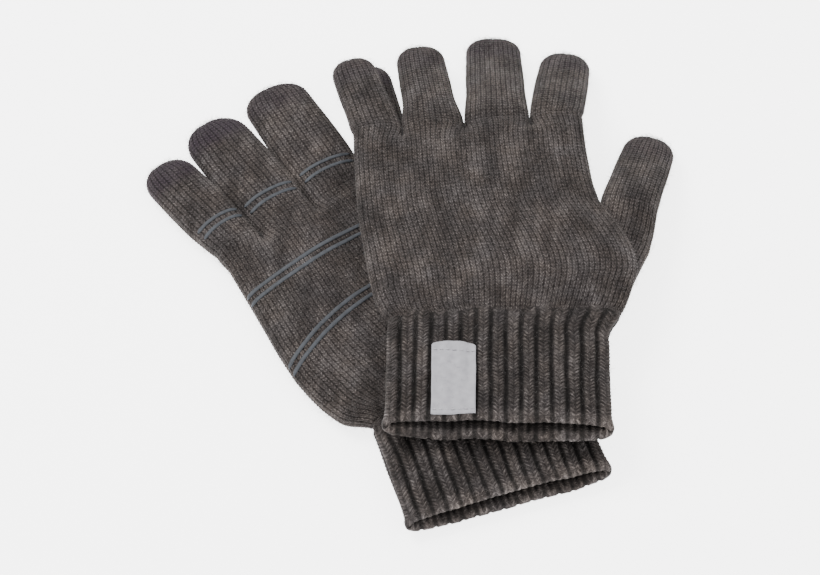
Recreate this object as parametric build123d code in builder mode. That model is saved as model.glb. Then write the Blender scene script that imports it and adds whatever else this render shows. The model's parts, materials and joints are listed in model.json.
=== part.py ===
"""A pair of knitted gloves lying one over the other: the right glove palm up on the table,
the left glove back up across it. Each glove is a ribbed cuff, a knitted palm with a thumb
gusset, five finger tubes with conductive-yarn tips, a soft inner lining and printed grip lines.

Millimetres. +Z is up, the table is z = 0, and the origin is the middle of the pair's footprint.
Each glove also has a frame of its own: origin at the middle of the wrist, x to the thumb side,
y to the fingers, z up. Headings are degrees to the right of that y.
"""

import os
from math import cos, radians, sin

from build123d import *

# Knit and lining
KNIT = 2.0  # wall of the knitted palm and fingers
RIB = 2.6  # wall of the ribbed cuff, which is folded double
LINING = 0.8  # wall of the brushed lining
EASE = 0.15  # room between the knit and its lining
FOLD_GAP = 0.6  # left free where a finger or the cuff folds against the palm
FLATTENED = 0.5  # how much of the lower glove's crowned underside the table presses flat

TABLE = Plane.XY

# Hand
LIP_HEIGHT = 14.0
WRIST_WIDTH, WRIST_HEIGHT = 94.0, 13.4
PALM_WIDTH, PALM_HEIGHT = 106.0, 14.0
KNUCKLE_WIDTH, KNUCKLE_HEIGHT = 105.0, 13.4
EDGE_SHARE = 0.44  # how much of a tube's height is left where its round edge starts

# Thumb, whose gusset grows out of the palm's side
THUMB_X, THUMB_Y = 65.7, 58.6
THUMB_HEADING = 22.7
THUMB_WIDTH = 25.5
DIGIT_HEIGHT = 12.2
TIP_LENGTH = 20.0

# Digits: place of the base across the knuckle line, width at the base
DIGITS = {
    "little": (-41.5, 21.6),
    "ring": (-16.2, 27.0),
    "middle": (12.7, 28.4),
    "index": (40.2, 24.3),
    "thumb": (THUMB_X, THUMB_WIDTH),
}
FINGERS = ["little", "ring", "middle", "index"]

# Grip lines, in pairs, and the sewn-on label
GRIP_WIDTH, GRIP_RISE, GRIP_PITCH = 1.7, 0.4, 4.6
PALM_GRIPS = [(59.0, 43.0, 9.6), (89.0, 47.0, 3.2)]  # place along the palm, reach, bow
FINGER_GRIP_OUT, FINGER_GRIP_REACH, FINGER_GRIP_BOW = 15.0, 0.36, 2.0
FINGER_GRIP_START = 3.0  # how far from the glove's middle plane a finger's grip lines may start
LABEL_WIDTH, LABEL_LENGTH, LABEL_RISE = 18.4, 35.0, 0.8
LABEL_X = -22.0
STITCH_LENGTH, STITCH_WIDTH, STITCH_RISE, STITCH_COUNT = 1.5, 0.5, 0.3, 7

# Where each glove lies and how its knit has stretched. The bulge is how far the palm spreads on
# the little finger's side. Each digit has a heading, a drop, a width and a length; the drop is
# how far its tip sinks below the middle of the palm.
GLOVES = {
    "right": {
        "wrist": (23.25, -64.49, PALM_HEIGHT / 2 - FLATTENED),
        "heading": -34.0,
        "palm_length": 116.0,
        "bulge": 6.0,
        "cuff_length": 58.0,
        "cuff_bend": 16.5,
        "wrist_tilt": 6.0,
        "lip_width": 90.0,
        "palm_side": 1,
        "gusset_drop": 0.9,
        "digits": {
            "little": (-10.0, 1.0, 22.8, 57.5),
            "ring": (-1.5, 1.0, 28.0, 68.0),
            "middle": (5.0, 1.0, 28.8, 69.0),
            "index": (22.0, 1.0, 23.2, 60.0),
            "thumb": (THUMB_HEADING, 1.0, 24.4, 49.0),
        },
    },
    "left": {
        "wrist": (37.65, -41.99, PALM_HEIGHT * 1.5 - FLATTENED + 0.8),
        "heading": -5.7,
        "palm_length": 108.0,
        "bulge": 0.0,
        "cuff_length": 55.0,
        "cuff_bend": 7.1,
        "wrist_tilt": 3.5,
        "lip_width": 94.0,
        "palm_side": -1,
        "gusset_drop": 5.0,
        "digits": {
            "little": (-11.0, 2.8, 20.6, 50.0),
            "ring": (-1.0, 10.2, 25.0, 60.5),
            "middle": (5.7, 17.2, 27.0, 66.0),
            "index": (14.3, 17.2, 23.6, 55.5),
            "thumb": (THUMB_HEADING, 16.6, 24.4, 49.0),
        },
    },
}


def glove_frame(glove):
    """The glove's own frame as a plane."""
    turn = radians(glove["heading"])
    return Plane(origin=glove["wrist"], x_dir=(cos(turn), -sin(turn), 0), z_dir=(0, 0, 1))


def station(frame, x, y, z, heading=0.0, droop=0.0):
    """A plane across a tube at a point of the glove's frame, facing along the tube."""
    h, d = radians(heading), radians(droop)
    across = Vector(cos(h), -sin(h), 0)
    along = Vector(sin(h) * cos(d), cos(h) * cos(d), -sin(d))
    middle = frame.from_local_coords(Vector(x, y, z))
    return Plane(
        origin=middle,
        x_dir=frame.from_local_coords(across) - frame.origin,
        z_dir=frame.from_local_coords(along) - frame.origin,
    )


def oval(plane, width, height):
    """A flattened tube's outline: two low crowns joined by round edges."""
    edge = EDGE_SHARE * height
    side = width / 2 - edge
    with BuildSketch(plane, mode=Mode.PRIVATE) as outline:
        with BuildLine():
            ThreePointArc((-side, edge), (0, height / 2), (side, edge))
            ThreePointArc((side, edge), (width / 2, 0), (side, -edge))
            ThreePointArc((side, -edge), (0, -height / 2), (-side, -edge))
            ThreePointArc((-side, -edge), (-width / 2, 0), (-side, edge))
        make_face()
    return outline.sketch


def tube_sections(stations, inset):
    """Outlines through the stations, each drawn inside the outer one by inset."""
    return [oval(plane, width - 2 * inset, height - 2 * inset) for plane, width, height in stations]


def cuff_stations(frame, glove):
    """From the wrist back to the lip, turning with the cuff."""
    bend, length, lip = glove["cuff_bend"], glove["cuff_length"], glove["lip_width"]
    h = radians(bend)

    def at(back, heading):
        return station(frame, -back * sin(h), -back * cos(h), 0, heading)

    return [
        (at(FOLD_GAP, glove["wrist_tilt"]), WRIST_WIDTH, WRIST_HEIGHT),
        (at(length * 0.35, bend), lip, WRIST_HEIGHT),
        (at(length * 0.7, bend), lip - 1, WRIST_HEIGHT),
        (at(length, bend), lip, LIP_HEIGHT),
    ]


def palm_stations(frame, glove):
    """From the wrist to the knuckle line."""
    bulge = glove["bulge"]

    def at(y, width, height, share):
        return (station(frame, -share * bulge / 2, y, 0), width + share * bulge, height)

    return [
        (station(frame, 0, 0, 0, glove["wrist_tilt"]), WRIST_WIDTH, WRIST_HEIGHT),
        at(13, WRIST_WIDTH + 6, PALM_HEIGHT - 0.2, 0.6),
        at(42, PALM_WIDTH - 2, PALM_HEIGHT, 1),
        at(74, PALM_WIDTH, PALM_HEIGHT, 0.5),
        (station(frame, 0, glove["palm_length"], 0), KNUCKLE_WIDTH, KNUCKLE_HEIGHT),
    ]


def gusset_stations(frame, glove):
    """From inside the palm out to the thumb's base."""
    drop = glove["gusset_drop"]
    h = radians(THUMB_HEADING)
    end_x, end_y = THUMB_X - FOLD_GAP * sin(h), THUMB_Y - FOLD_GAP * cos(h)
    return [
        (station(frame, 38, 6, -0.2 * drop, THUMB_HEADING), 21.0, DIGIT_HEIGHT - 2),
        (station(frame, 55, 29, -0.5 * drop, THUMB_HEADING), THUMB_WIDTH + 1, DIGIT_HEIGHT),
        (station(frame, end_x, end_y, -drop, THUMB_HEADING), THUMB_WIDTH, DIGIT_HEIGHT),
    ]


# How a digit narrows: share of the length, share of the width, share of the height
DIGIT_PROFILE = [
    (0.5, 1.0, 1.0),
    (0.76, 0.98, 0.98),
    (0.89, 0.86, 0.9),
    (0.965, 0.62, 0.7),
    (1.0, 0.34, 0.42),
]


def digit_stations(frame, glove, name, inset):
    """From the digit's base to its tip. An inset tube also stops short of the tip."""
    base_x, base_width = DIGITS[name]
    heading, drop, width, length = glove["digits"][name]
    start = 0.0 if name == "thumb" else FOLD_GAP
    base_y = THUMB_Y if name == "thumb" else glove["palm_length"] + start
    base_z = -glove["gusset_drop"] if name == "thumb" else 0.0
    base_heading = THUMB_HEADING if name == "thumb" else 0.0
    base_height = DIGIT_HEIGHT if name == "thumb" else KNUCKLE_HEIGHT - 0.4
    fall = drop + base_z
    h = radians(heading)
    stations = [(station(frame, base_x, base_y, base_z, base_heading), base_width, base_height)]
    for share, wide, high in DIGIT_PROFILE:
        out = share * (length - inset)
        place = (base_x + out * sin(h), base_y + out * cos(h), base_z - share * fall)
        smallest = 2 * inset + 0.8
        size = max(width * wide, smallest), max(DIGIT_HEIGHT * high, smallest)
        stations.append((station(frame, *place, heading), *size))
    return stations


def hollow_digit(frame, glove, name, outside, inside):
    """A digit's closed stall between two insets."""
    with BuildPart() as stall:
        loft(sections=tube_sections(digit_stations(frame, glove, name, outside), outside), ruled=True)
        hollow = tube_sections(digit_stations(frame, glove, name, inside), inside)
        loft(sections=hollow, ruled=True, mode=Mode.SUBTRACT)
        split(bisect_by=TABLE, keep=Keep.TOP)
    return stall.part


def grip_lines(frame, centre, reach, bow, heading=0.0):
    """A pair of thin bowed lines drawn on the glove's own plane, about their centre."""
    h = radians(heading)
    x, y = centre
    with BuildSketch(frame, mode=Mode.PRIVATE) as lines:
        for shift in (-GRIP_PITCH / 2, GRIP_PITCH / 2):
            place = Location((x + shift * sin(h), y + shift * cos(h)), -heading)
            with BuildLine(mode=Mode.PRIVATE) as path:
                ThreePointArc((-reach, -bow), (0, 0), (reach, -bow))
            with Locations(place):
                SlotArc(arc=path.edges()[0], height=GRIP_WIDTH)
    return lines.sketch


def raised(stations, base, rise, side, drawing, ruled=False):
    """What a drawing leaves standing proud of a tube's upper or lower face."""
    reach = 2 * PALM_HEIGHT
    with BuildPart() as print_on:
        loft(sections=tube_sections(stations, -base - rise), ruled=ruled)
        loft(sections=tube_sections(stations, -base), ruled=ruled, mode=Mode.SUBTRACT)
        extrude(drawing, amount=side * reach, mode=Mode.INTERSECT)
    return print_on.part


def save(part, name):
    """Writes one sub-part under its own name."""
    part.label = name
    export_step(part, f"parts/{name}.step")


def make_hand(frame, glove, side):
    """The cuff, the palm with its gusset, and the lining of both."""
    palm, gusset = palm_stations(frame, glove), gusset_stations(frame, glove)

    with BuildPart() as cuff:
        loft(sections=tube_sections(cuff_stations(frame, glove), 0))
        loft(sections=tube_sections(cuff_stations(frame, glove), RIB), mode=Mode.SUBTRACT)
        split(bisect_by=TABLE, keep=Keep.TOP)
    save(cuff.part, f"{side}_cuff")

    with BuildPart() as shell:
        loft(sections=tube_sections(palm, 0))
        loft(sections=tube_sections(gusset, 0))
        loft(sections=tube_sections(palm, KNIT), mode=Mode.SUBTRACT)
        loft(sections=tube_sections(gusset, KNIT), mode=Mode.SUBTRACT)
        split(bisect_by=TABLE, keep=Keep.TOP)
    save(shell.part, f"{side}_palm")

    outside, inside = KNIT + EASE, KNIT + EASE + LINING
    with BuildPart() as lining:
        loft(sections=tube_sections(palm, outside))
        loft(sections=tube_sections(gusset, outside))
        loft(sections=tube_sections(palm, inside), mode=Mode.SUBTRACT)
        loft(sections=tube_sections(gusset, inside), mode=Mode.SUBTRACT)
    save(lining.part, f"{side}_palm_lining")

    lines = Sketch() + [grip_lines(frame, (0, y), reach, bow) for y, reach, bow in PALM_GRIPS]
    save(raised(palm, 0, GRIP_RISE, glove["palm_side"], lines), f"{side}_palm_grip_lines")


def make_digit(frame, glove, side, name):
    """A finger or the thumb: its tube, its conductive tip, its lining and its grip lines."""
    base_x, _ = DIGITS[name]
    heading, _, width, length = glove["digits"][name]
    h = radians(heading)
    base_y = THUMB_Y if name == "thumb" else glove["palm_length"] + FOLD_GAP
    cut_out = length - TIP_LENGTH
    cut = station(frame, base_x + cut_out * sin(h), base_y + cut_out * cos(h), 0, heading)
    stall = hollow_digit(frame, glove, name, 0, KNIT)

    with BuildPart() as tube:
        add(stall)
        split(bisect_by=cut, keep=Keep.BOTTOM)
    save(tube.part, f"{side}_{name}_tube")

    with BuildPart() as tip:
        add(stall)
        split(bisect_by=cut, keep=Keep.TOP)
    save(tip.part, f"{side}_{name}_touch_tip")

    lining = hollow_digit(frame, glove, name, KNIT + EASE, KNIT + EASE + LINING)
    save(lining, f"{side}_{name}_lining")

    if name in FINGERS:
        centre = (base_x + FINGER_GRIP_OUT * sin(h), base_y + FINGER_GRIP_OUT * cos(h))
        sheet = frame.offset(glove["palm_side"] * FINGER_GRIP_START)
        lines = grip_lines(sheet, centre, FINGER_GRIP_REACH * width, FINGER_GRIP_BOW, heading)
        finger = digit_stations(frame, glove, name, 0)
        grip = raised(finger, 0, GRIP_RISE, glove["palm_side"], lines, ruled=True)
        save(grip, f"{side}_{name}_grip_lines")


def make_label(frame, glove, side):
    """The woven label on the cuff's back, and the stitches that hold it at both ends."""
    bend = radians(glove["cuff_bend"])
    middle = glove["cuff_length"] - LABEL_LENGTH / 2 - 0.4
    centre = (LABEL_X * cos(bend) - middle * sin(bend), -LABEL_X * sin(bend) - middle * cos(bend))
    place = Location(centre, -glove["cuff_bend"])
    cuff = cuff_stations(frame, glove)

    with BuildSketch(frame) as tab:
        with Locations(place):
            Rectangle(LABEL_WIDTH, LABEL_LENGTH)
    save(raised(cuff, 0, LABEL_RISE, -glove["palm_side"], tab.sketch), f"{side}_cuff_label")

    row_gap = LABEL_LENGTH - 4.0
    with BuildSketch(frame) as rows:
        with Locations(place):
            with GridLocations(LABEL_WIDTH / STITCH_COUNT, row_gap, STITCH_COUNT, 2):
                Rectangle(STITCH_LENGTH, STITCH_WIDTH)
    stitches = raised(cuff, LABEL_RISE, STITCH_RISE, -glove["palm_side"], rows.sketch)
    save(stitches, f"{side}_label_stitches")


os.makedirs("parts", exist_ok=True)
for side, glove in GLOVES.items():
    frame = glove_frame(glove)
    make_hand(frame, glove, side)
    for name in DIGITS:
        make_digit(frame, glove, side, name)
make_label(glove_frame(GLOVES["left"]), GLOVES["left"], "left")
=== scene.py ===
"""The looks of a pair of knitted touchscreen gloves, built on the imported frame.

Each knitted piece is a tube: a coarse cage of rings, read smoothly at any point, with the stitches
raised on a fine grid over it. Millimetres inside the tubes, metres once a mesh is made.
A glove's own frame has its origin at the middle of the wrist, x to the thumb, y to the fingers.
"""

import json

import bpy
import numpy as np
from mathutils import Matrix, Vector, noise


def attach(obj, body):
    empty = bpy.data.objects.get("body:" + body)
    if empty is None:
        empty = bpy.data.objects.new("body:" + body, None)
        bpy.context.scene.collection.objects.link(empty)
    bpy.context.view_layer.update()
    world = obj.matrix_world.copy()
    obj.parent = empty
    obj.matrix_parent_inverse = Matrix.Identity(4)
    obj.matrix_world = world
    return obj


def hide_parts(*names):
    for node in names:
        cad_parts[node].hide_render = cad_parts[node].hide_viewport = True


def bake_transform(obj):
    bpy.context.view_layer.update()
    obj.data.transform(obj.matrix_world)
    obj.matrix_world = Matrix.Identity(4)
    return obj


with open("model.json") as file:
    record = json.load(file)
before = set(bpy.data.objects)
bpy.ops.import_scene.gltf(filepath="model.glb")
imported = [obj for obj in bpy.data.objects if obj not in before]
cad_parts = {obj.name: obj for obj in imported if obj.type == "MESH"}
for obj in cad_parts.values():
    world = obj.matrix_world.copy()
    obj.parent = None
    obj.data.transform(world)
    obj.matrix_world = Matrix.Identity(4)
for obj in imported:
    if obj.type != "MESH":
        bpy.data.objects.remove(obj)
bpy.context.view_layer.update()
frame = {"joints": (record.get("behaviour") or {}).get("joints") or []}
JOINTS = {j["name"]: j for j in frame["joints"]}
MM = 0.001

# ---------------------------------------------------------------- pattern of the glove
COURSE = 1.78  # the height of one stitch row of the body knit
SAMPLES = 4  # grid lines per stitch, both ways
RELIEF, RELIEF_ZERO, UNEVEN = 0.42, 0.15, 0.35  # how proud the stitches stand, and how unevenly
WALL, LINING_GAP, LINING = 1.5, 0.25, 0.6
SWAY, SWAY_SIZE, CUFF_SWAY, CUFF_SWAY_SIZE = 0.12, 9.0, 0.16, 14.0  # columns wander sideways
PRESS = 0.6  # how far above the table the knit starts to press flat
RIBS = 15  # on one face of a cuff
RIB_COLUMNS, RIB_SAMPLES, RIB_COURSE, RIB_ROW_SAMPLES = 2, 6, 1.9, 4
RIB_SPREAD = 0.73  # the share of a rib's width that stands proud
CUFF_WALL, RIB_RELIEF, LIP_SWELL, LIP_ROUND, LIP_ROWS = 2.4, 1.8, 0.7, 1.1, 7
CUFF_TOP, CUFF_HEIGHT = -3.0, 9.6  # where the cuff starts inside the palm, and its height at the wrist
FLARE = 6.0  # how much the cuff's top widens towards the thumb
HINGE_OUT, HINGE_UP = 0.3, 6.7  # from the end of the palm's middle to a finger's hinge line
BEND_LENGTH = 15.0  # how much of a finger turns with its fold
THUMB_X, THUMB_Y, THUMB_HEADING = 65.7, 58.6, 22.7
FINGER_HEIGHT, TIP_LENGTH = 11.8, 20.0
FINGER_ROUND, CUFF_ROUND, PALM_ROUND = 2.4, 3.2, 3.4  # 2 is an ellipse, and more is squarer
FINGER_WRINKLE = 0.45  # of the palm's
SAG_FROM, SAG_FULL = 8, 58  # across the palm towards the thumb, where the free edge sinks
GRIP_PITCH, GRIP_HALF, GRIP_RISE = 4.3, 0.95, 0.35
FINGER_GRIP_OUT, FINGER_GRIP_REACH, FINGER_GRIP_BOW = 13.0, 0.36, 1.2
PALM_GRIPS = [(59.0, 12.5), (89.0, 3.5)]  # place along the palm, bow
PALM_GRIP_REACH = 0.485
LABEL_X, LABEL_WIDTH, LABEL_LENGTH = -18.5, 18.4, 37.0
LABEL_LIFT, LABEL_THICK, LABEL_PAST = 2.7, 0.45, 0.4
STITCHES, STITCH_LENGTH, STITCH_HALF, STITCH_RISE = 7, 1.5, 0.25, 0.3
STITCH_ROWS = (1.6, LABEL_LENGTH - 5.0)  # from the lip
FUZZ_PER_MM2, FUZZ_LENGTH, FUZZ_THICK, CUFF_FUZZ = 0.26, (1.3, 3.4), 0.042, 0.6

# base place across the knuckle line, base width, stitch columns on one face
FINGERS = {
    "index": (39.6, 24.2, 12),
    "middle": (12.7, 29.4, 14),
    "ring": (-16.2, 28.0, 13),
    "little": (-41.5, 22.6, 11),
}
THUMB = (THUMB_X, 25.5, 14)
CROTCHES = (51.3, 27.6, -2.1, -30.2, -52.4)

# A fingertip's dome: its length in widths, its roundness, the least width and the places of its rows
DOME, BLUNT_DOME, DOME_POWER, TAPER, NARROWEST = 0.46, 0.36, 2.2, 0.05, 0.16
DOME_ROWS = (0.2, 0.4, 0.58, 0.72, 0.83, 0.91, 0.96, 0.99)

# The gusset's middle, its share of the drop, its width and its height, from the wrist outwards
GUSSET = (
    (38, 4, 0.0, 18, 9.5),
    (43, 9, -0.15, 23, 10.6),
    (47.5, 17, -0.3, 25.5, 11.2),
    (52.5, 27, -0.62, 26.5, 11.2),
    (58, 37, -1.0, 26.5, 11.2),
    (62, 47, -1.15, 26, 11.6),
    (THUMB_X, THUMB_Y, -1.0, 25.5, FINGER_HEIGHT),
)

# Palm edges at places along it: the thumb's side swells over the gusset
EDGE_Y = (-2.5, 0.5, 4.5, 10, 17, 23, 30, 40, 50, 58, 68, 85, 106, 116)
THUMB_EDGE = (49, 52, 55, 58.5, 62, 63.5, 63, 60, 55.5, 52, 50.5, 50.3, 51, 51.3)
HEIGHT_Y = (-2.5, 0.5, 4.5, 14, 42, 80)
PALM_HEIGHTS = (9, 11.4, 13.2, 13.8, 13.6, 13.4, 12.6)  # the last one at the knuckle line

GLOVES = {
    "right": {
        "marker": "ring",
        "palm": 116.0,
        "cuff": 58.0,
        "bend": 16.5,
        "tilt": 6.0,
        "cuff_width": 85.5,
        "lip_shift": (2.0, 2.0),
        "gusset_drop": 0.9,
        "little_edge": (-44, -46.5, -50, -53, -55.5, -57, -58, -58.6, -58, -57.3, -56, -54, -51.7, -52.4),
        # heading, drop, width, length, touch
        "digits": {
            "little": (-6.0, 1.0, 25.8, 58.5, 0.9),
            "ring": (-1.0, 1.0, 31.5, 68.0, 0.9),
            "middle": (4.0, 1.0, 32.4, 70.0, 0.45),
            "index": (22.0, 1.0, 23.4, 60.0, 0.6),
            "thumb": (THUMB_HEADING, 1.0, 24.4, 49.0, 0.6),
        },
        "moving": ("little", "ring"),
        "sag": 0.0,
        "seed": 11.0,
    },
    "left": {
        "marker": "middle",
        "palm": 108.0,
        "cuff": 55.0,
        "bend": 7.1,
        "tilt": 3.5,
        "cuff_width": 91.5,
        "lip_shift": (4.5, 1.5),
        "gusset_drop": 5.0,
        "little_edge": (-44, -46, -48.5, -50, -51.5, -52, -52.6, -53.2, -53.7, -54, -54, -53.5, -52.6, -52.4),
        "digits": {
            "little": (-11.0, 2.8, 21.4, 46.5, 0.3),
            "ring": (-1.0, 9.8, 23.4, 56.5, 0.3),
            "middle": (5.7, 16.4, 27.0, 64.0, 0.35),
            "index": (14.3, 15.6, 24.6, 52.0, 0.35),
            "thumb": (THUMB_HEADING, 16.0, 24.4, 49.0, 0.35),
        },
        "moving": ("index", "middle", "ring", "little", "thumb"),
        "sag": 0.6,
        "seed": 47.0,
    },
}


def smooth(low, high, x):
    """0 at low and 1 at high, held past both, with a smooth change between."""
    t = np.clip((np.asarray(x, float) - low) / (high - low), 0, 1)
    return t * t * (3 - 2 * t)


def lumps(points, size, seed):
    """Smooth random numbers, about -1 to 1, that vary over size millimetres."""
    flat = np.asarray(points, float).reshape(-1, 3) / size + seed
    return np.array([noise.noise(Vector(p)) for p in flat]).reshape(np.shape(points)[:-1])


class Local:
    """A glove's own frame."""

    def __init__(self, side):
        glove = GLOVES[side]
        joint = JOINTS[f"{side}_{glove['marker']}_fold"]
        self.x = np.array(joint["axis"], float)
        self.z = np.array([0.0, 0.0, 1.0])
        self.y = np.cross(self.z, self.x)
        hinge = np.array(joint["pos_m"], float) / MM
        out = glove["palm"] + HINGE_OUT
        place = FINGERS[glove["marker"]][0]
        self.origin = hinge - self.x * place - self.y * out - self.z * HINGE_UP

    def world(self, points):
        """Points of the glove's frame in the row frame, still in millimetres."""
        p = np.asarray(points, float)
        return self.origin + p[..., :1] * self.x + p[..., 1:2] * self.y + p[..., 2:3] * self.z


class Tube:
    """A smooth surface through a cage of rings: rows by columns by 3. Columns wrap round."""

    def __init__(self, cage):
        first, last = 2 * cage[0] - cage[1], 2 * cage[-1] - cage[-2]
        self.cage = cage
        self.rows = np.concatenate([first[None], cage, last[None]])

    @staticmethod
    def weights(t):
        """Four spline weights for a fraction t between the middle two points."""
        return (
            -0.5 * t + t * t - 0.5 * t**3,
            1 - 2.5 * t * t + 1.5 * t**3,
            0.5 * t + 2 * t * t - 1.5 * t**3,
            -0.5 * t * t + 0.5 * t**3,
        )

    def at(self, u, v):
        """The point at u columns and v rows."""
        u, v = np.broadcast_arrays(np.asarray(u, float), np.asarray(v, float))
        count = self.rows.shape[1]
        row = np.clip(np.floor(v), 0, len(self.cage) - 2).astype(int)
        column = np.floor(u).astype(int)
        wv, wu = self.weights(v - row), self.weights(u - column)
        total = np.zeros(u.shape + (3,))
        for i in range(4):
            for j in range(4):
                total += (wv[i] * wu[j])[..., None] * self.rows[row + i, (column + j - 1) % count]
        return total

    def normal(self, u, v, step=0.2):
        """The outward normal: columns run from the thumb side over the top."""
        along_u = self.at(u + step, v) - self.at(u - step, v)
        along_v = self.at(u, v + step) - self.at(u, v - step)
        n = np.cross(along_v, along_u)
        return n / np.maximum(np.linalg.norm(n, axis=-1, keepdims=True), 1e-9)

    def run(self):
        """The length along the tube from its first ring to each."""
        steps = np.linalg.norm(np.diff(self.cage, axis=0), axis=-1).mean(axis=1)
        return np.concatenate([[0], np.cumsum(steps)])

    def reach(self, row):
        """How far every ring's middle is from one ring's."""
        return np.linalg.norm(self.cage.mean(axis=1) - self.cage[row].mean(axis=0), axis=-1)

    def inside(self, wall):
        """The same tube drawn in by a wall's thickness, keeping its flat middle."""
        cage = self.cage
        back = np.roll(cage[:, ::-1], 1, axis=1)
        middle = (cage + back) / 2
        centre = cage.mean(axis=1, keepdims=True)
        high = np.linalg.norm(cage - back, axis=-1).max(axis=1)[:, None, None] / 2
        wide = np.linalg.norm(middle - centre, axis=-1).max(axis=1)[:, None, None]
        flat = middle + (cage - middle) * np.clip(1 - wall / high, 0.05, 1)
        return Tube(centre + (flat - centre) * np.clip(1 - wall / wide, 0.05, 1))


def half_oval(width, height, count, power=3.0, fine=400):
    """The upper half of a flattened ring, from +x over to -x, in count even steps."""
    a = np.linspace(0, np.pi, fine)
    x = width / 2 * np.sign(np.cos(a)) * np.abs(np.cos(a)) ** (2 / power)
    z = height / 2 * np.abs(np.sin(a)) ** (2 / power)
    run = np.concatenate([[0], np.cumsum(np.hypot(np.diff(x), np.diff(z)))])
    even = np.linspace(0, run[-1], count + 1)
    return np.stack([np.interp(even, run, x), np.interp(even, run, z)], axis=-1)


def ring(width, height, count, power=3.0):
    """A whole flattened ring with count steps on each face."""
    top = half_oval(width, height, count, power)
    bottom = top[::-1] * (1, -1)
    return np.concatenate([top[:-1], bottom[:-1]])


def knuckle_ring():
    """The palm's last ring: four finger ovals side by side, joined at the crotches."""
    top = []
    for i, finger in enumerate(FINGERS):
        high, low = CROTCHES[i], CROTCHES[i + 1]
        lobe = half_oval(high - low, FINGER_HEIGHT, FINGERS[finger][2], FINGER_ROUND)
        lobe[:, 0] += (high + low) / 2
        top.append(lobe[:-1])
    top.append(np.array([[CROTCHES[-1], 0.0]]))
    top = np.concatenate(top)
    bottom = top[::-1] * (1, -1)
    return np.concatenate([top[:-1], bottom[:-1]])


def place_ring(section, x, y, z, heading=0.0):
    """A ring's points in the glove's frame, standing across a heading."""
    h = np.radians(heading)
    x, y = x + section[:, 0] * np.cos(h), y - section[:, 0] * np.sin(h)
    return np.stack([x, y, z + section[:, 1]], axis=-1)


def palm_cage(glove):
    """Rings from the wrist to the knuckle line, in the glove's frame."""
    length = glove["palm"]
    count = sum(f[2] for f in FINGERS.values())
    body = np.linspace(EDGE_Y[2], length - 13, 23)
    ys = np.concatenate([EDGE_Y[:2], body, np.linspace(length - 10.5, length, 5)])
    last = knuckle_ring()
    rows = []
    for y in ys:
        thumb_edge, little_edge = np.interp(y, EDGE_Y, THUMB_EDGE), np.interp(y, EDGE_Y, glove["little_edge"])
        high = np.interp(y, (*HEIGHT_Y, length), PALM_HEIGHTS)
        section = ring(thumb_edge - little_edge, high, count, PALM_ROUND)
        section = section + (0.5 * (thumb_edge + little_edge), 0)
        t = smooth(length - 11, length, y)
        section = section * (1 - t) + last * t
        tilt = glove["tilt"] * (1 - smooth(0, 14, y))
        rows.append(place_ring(section, 0, y, 0, tilt))
    return np.array(rows)


def finger_rings(glove, finger):
    """Rings from the knuckle line to the tip, without the first, in the glove's frame."""
    thumb = finger == "thumb"
    base_x, base_width, count = THUMB if thumb else FINGERS[finger]
    target, drop, width, length, _ = glove["digits"][finger]
    base_y = THUMB_Y if thumb else glove["palm"]
    base_z = -glove["gusset_drop"] if thumb else 0.0
    fall = drop + base_z
    dome = 1 - (DOME if finger != "middle" else BLUNT_DOME) * width / length
    shares = np.concatenate([np.linspace(0, dome, 12)[1:], dome + (1 - dome) * np.array(DOME_ROWS)])
    h = np.radians(target)
    rows = []
    for share in shares:
        t = np.clip((share - dome) / (1 - dome), 0, 1)
        closing = (1 - t**DOME_POWER) ** (1 / DOME_POWER)
        now = base_width + (width - base_width) * smooth(0, 0.35, share)
        taper = 1 - TAPER * smooth(0.45, 0.9, share)
        turn = target if thumb else target * smooth(0, 0.14, share)
        out = share * length
        z = base_z - fall * (0.25 * share + 0.75 * smooth(0.02, 0.98, share))
        high = FINGER_HEIGHT * (1 - 0.06 * share) * closing
        wide = now * taper * max(closing, NARROWEST)
        section = ring(wide, max(high, 1.0), count, FINGER_ROUND + 0.2 * share)
        rows.append(place_ring(section, base_x + out * np.sin(h), base_y + out * np.cos(h), z, turn))
    return np.array(rows)


def gusset_rings(glove):
    """Rings from inside the palm to the thumb's base."""
    knots = np.array(GUSSET)
    t = np.linspace(0, len(knots) - 1, 16)
    x, y, drop, wide, high = (np.interp(t, np.arange(len(knots)), column) for column in knots.T)
    rows = []
    for k in range(len(t)):
        section = ring(wide[k], high[k], THUMB[2], FINGER_ROUND)
        rows.append(place_ring(section, x[k], y[k], drop[k] * glove["gusset_drop"], THUMB_HEADING))
    return np.array(rows)


def finger_columns(finger):
    """Which of the palm's columns carry on into a finger: top from the thumb side, then bottom."""
    counts = [f[2] for f in FINGERS.values()]
    order = list(FINGERS).index(finger)
    start, total = sum(counts[:order]), sum(counts)
    top = np.arange(start, start + counts[order] + 1)
    return top, (2 * total - top)[::-1] % (2 * total)


def finger_from_palm(palm, row, finger):
    """A finger's ring read off the palm's row: the side points lie between top and bottom."""
    top, bottom = finger_columns(finger)
    upper, lower = palm[row, top], palm[row, bottom]
    points = np.concatenate([upper[:-1], lower[:-1]])
    points[0] = (upper[0] + lower[-1]) / 2
    points[len(upper) - 1] = (upper[-1] + lower[0]) / 2
    return points


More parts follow.
